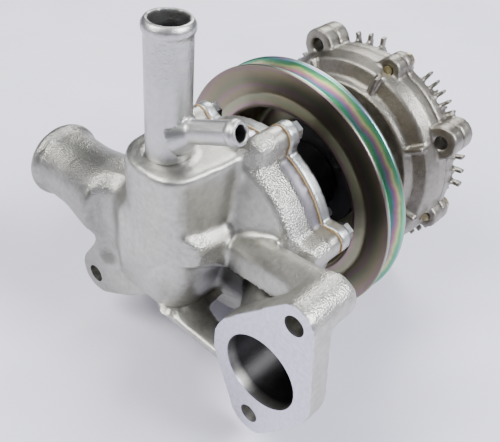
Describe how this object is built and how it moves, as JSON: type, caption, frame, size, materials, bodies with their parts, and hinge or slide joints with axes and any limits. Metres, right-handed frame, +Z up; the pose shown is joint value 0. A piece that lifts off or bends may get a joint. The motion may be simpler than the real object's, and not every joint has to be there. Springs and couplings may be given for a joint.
{
  "type": "water pump",
  "caption": "Engine water pump: cast housing with hose neck, upright pipe and bolted port flange, belt pulley on the shaft and a finned viscous fan coupling.",
  "frame": {"origin": "point where the shaft axis meets the engine's mounting plane", "axes": "+X along the shaft towards the fan, +Y along the hose neck, +Z up along the upright pipe"},
  "size_m": [0.1736, 0.1773, 0.17],
  "materials": {
    "cast_aluminium": "bright sand-cast, satin with a fine rough skin, machined at the joint and mounting faces",
    "pipe_steel": "bright satin, lightly rough below the bead",
    "cover_aluminium": "light grey die-cast, satin",
    "coupling_aluminium": "warm grey die-cast, satin",
    "yellow_zinc": "yellow-chromated zinc plate, iridescent",
    "zinc_steel": "bright zinc-plated steel",
    "brass_screw": "yellow-passivated screw",
    "gasket_paper": "orange-brown fibre sheet",
    "bearing_steel": "ground and polished",
    "rubber_black": "matt",
    "seal_brass": "drawn",
    "carbon": "lapped",
    "ceramic": "lapped",
    "cast_iron": "as cast",
    "bimetal": "rolled strip"
  },
  "bodies": {
    "housing": {"rear_housing": "cast_aluminium", "heater_pipe": "pipe_steel", "cover_gasket": "gasket_paper", "bearing_housing": "cover_aluminium", "cover_screws": "zinc_steel", "bearing_outer_ring": "bearing_steel", "bearing_seals": "rubber_black", "seal_cup": "seal_brass", "seal_bellows": "rubber_black", "seal_spring": "zinc_steel", "carbon_ring": "carbon"},
    "rotor": {"pump_shaft": "bearing_steel", "impeller": "cast_iron", "mating_ring": "ceramic", "mating_ring_cup": "rubber_black", "pulley_hub": "zinc_steel", "pulley": "yellow_zinc", "hub_studs": "zinc_steel", "hub_nuts": "yellow_zinc", "drive_shaft": "bearing_steel", "drive_disc": "coupling_aluminium", "coupling_inner_ring": "bearing_steel"},
    "rear_ball_row": {"rear_balls": "bearing_steel", "rear_cage": "zinc_steel"},
    "front_ball_row": {"front_balls": "bearing_steel", "front_cage": "zinc_steel"},
    "coupling": {"coupling_case": "coupling_aluminium", "coupling_cover": "coupling_aluminium", "divider_plate": "zinc_steel", "cover_seal_ring": "rubber_black", "case_screws": "brass_screw", "coupling_outer_ring": "bearing_steel", "bimetal_coil": "bimetal", "coil_bracket": "zinc_steel"},
    "coupling_ball_row": {"coupling_balls": "bearing_steel", "coupling_cage": "zinc_steel"},
    "valve": {"valve_arm": "zinc_steel", "valve_spindle": "zinc_steel"}
  },
  "joints": [
    {"name": "rotor_spin", "type": "hinge", "parent": "housing", "child": "rotor", "pos_m": [0.09, 0, 0], "axis": [1, 0, 0], "continuous": true},
    {"name": "rear_row_spin", "type": "hinge", "parent": "housing", "child": "rear_ball_row", "pos_m": [0.078, 0, 0], "axis": [1, 0, 0], "continuous": true},
    {"name": "front_row_spin", "type": "hinge", "parent": "housing", "child": "front_ball_row", "pos_m": [0.095, 0, 0], "axis": [1, 0, 0], "continuous": true},
    {"name": "coupling_spin", "type": "hinge", "parent": "rotor", "child": "coupling", "pos_m": [0.1275, 0, 0], "axis": [1, 0, 0], "continuous": true},
    {"name": "coupling_row_spin", "type": "hinge", "parent": "rotor", "child": "coupling_ball_row", "pos_m": [0.1275, 0, 0], "axis": [1, 0, 0], "continuous": true},
    {"name": "valve_turn", "type": "hinge", "parent": "coupling", "child": "valve", "pos_m": [0.155, 0, 0], "axis": [1, 0, 0], "range_deg": [0, 35], "stiffness_Nm_per_rad": 0.01}
  ],
  "couplings": [
    {"joint": "rear_row_spin", "follows": "rotor_spin", "ratio": 0.3779},
    {"joint": "front_row_spin", "follows": "rotor_spin", "ratio": 0.3779},
    {"joint": "coupling_row_spin", "follows": "coupling_spin", "ratio": 0.6183}
  ]
}
